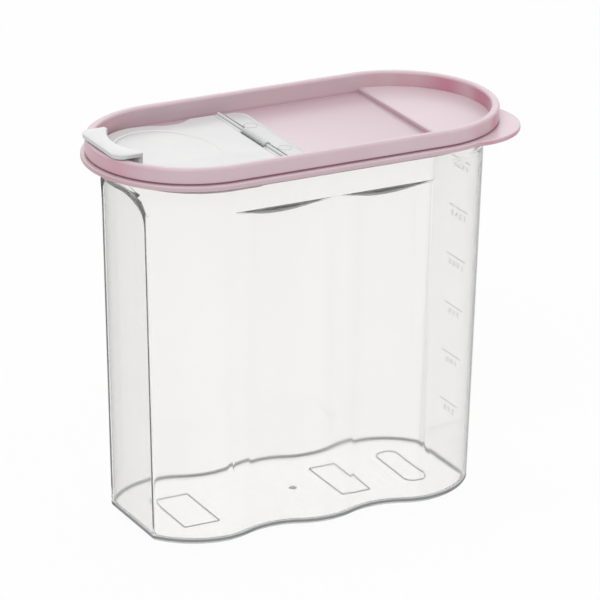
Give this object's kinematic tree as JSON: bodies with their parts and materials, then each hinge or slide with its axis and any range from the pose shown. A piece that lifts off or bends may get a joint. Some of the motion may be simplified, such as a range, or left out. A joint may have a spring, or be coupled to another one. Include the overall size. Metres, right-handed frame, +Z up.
{
  "type": "cereal container with flip spout",
  "caption": "Clear upright cereal container with lobed long sides, flat ends, a press-on coloured lid with a raised collar and pull ear, and a clear hinged flip spout.",
  "frame": {"origin": "middle of the container's flat base, on the surface it stands on", "axes": "+Z up out of the base; X along the length with the flip spout at -X and the pull ear at +X; -Y is the front"},
  "size_m": [0.209, 0.0994, 0.1906],
  "materials": {
    "clear_body": "clear polished polypropylene",
    "lid_plastic": "dusty pink polyethylene, satin gloss",
    "clear_hinge": "milky clear polypropylene",
    "clear_flap": "milky clear polypropylene"
  },
  "bodies": {
    "container": {"container_body": "clear_body"},
    "lid": {"lid_cover": "lid_plastic", "hinge_plate": "clear_hinge"},
    "flap": {"spout_flap": "clear_flap"}
  },
  "joints": [
    {"name": "lid_lift", "type": "slide", "parent": "container", "child": "lid", "axis": [0, 0, 1], "range_m": [0, 0.06]},
    {"name": "flap_hinge", "type": "hinge", "parent": "lid", "child": "flap", "pos_m": [-0.0198, 0, 0.1809], "axis": [0, 1, 0], "range_deg": [0, 172]}
  ]
}
